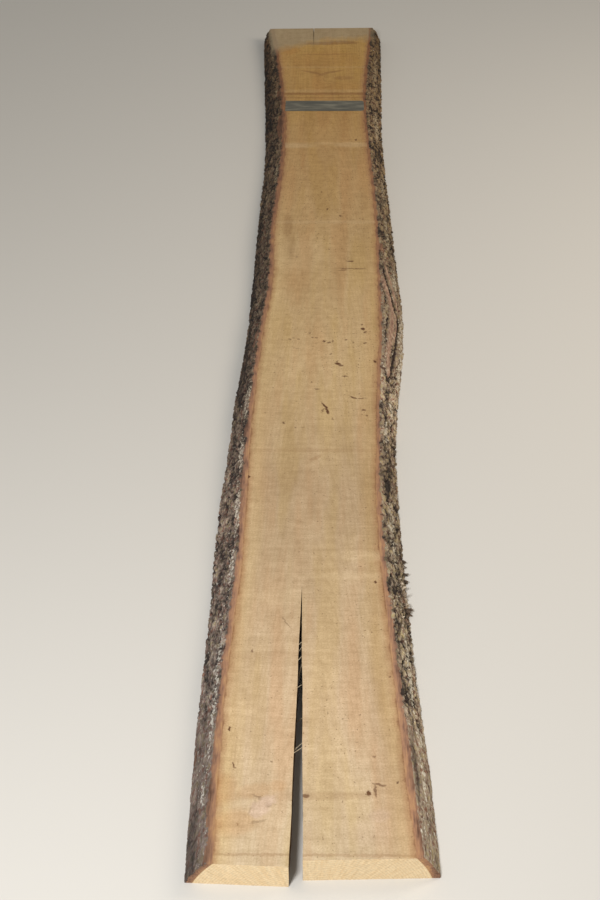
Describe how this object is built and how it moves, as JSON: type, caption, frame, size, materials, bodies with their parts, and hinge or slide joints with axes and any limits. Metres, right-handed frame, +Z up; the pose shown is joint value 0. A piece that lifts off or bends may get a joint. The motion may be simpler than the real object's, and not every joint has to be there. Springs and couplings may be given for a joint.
{
  "type": "live-edge oak plank",
  "caption": "Long oak plank sawn flat through a log, with bark on both wavy edges, a drying split from one end and a bare label strip near the other.",
  "frame": {"origin": "middle of the plank's box, on its flat underside, where it rests on the floor", "axes": "+Y along the plank from the split end to the end with the label strip, +X across its width, +Z up through its thickness"},
  "size_m": [0.4201, 3.4586, 0.0515],
  "materials": {
    "sawn_oak": "rough sawn",
    "oak_bark": "rough bark, red-brown where the saw cut it",
    "label_tape": "satin silver-grey tape"
  },
  "bodies": {
    "root": {"plank": "sawn_oak", "bark_left": "oak_bark", "bark_right": "oak_bark", "label_strip": "label_tape"}
  },
  "joints": []
}
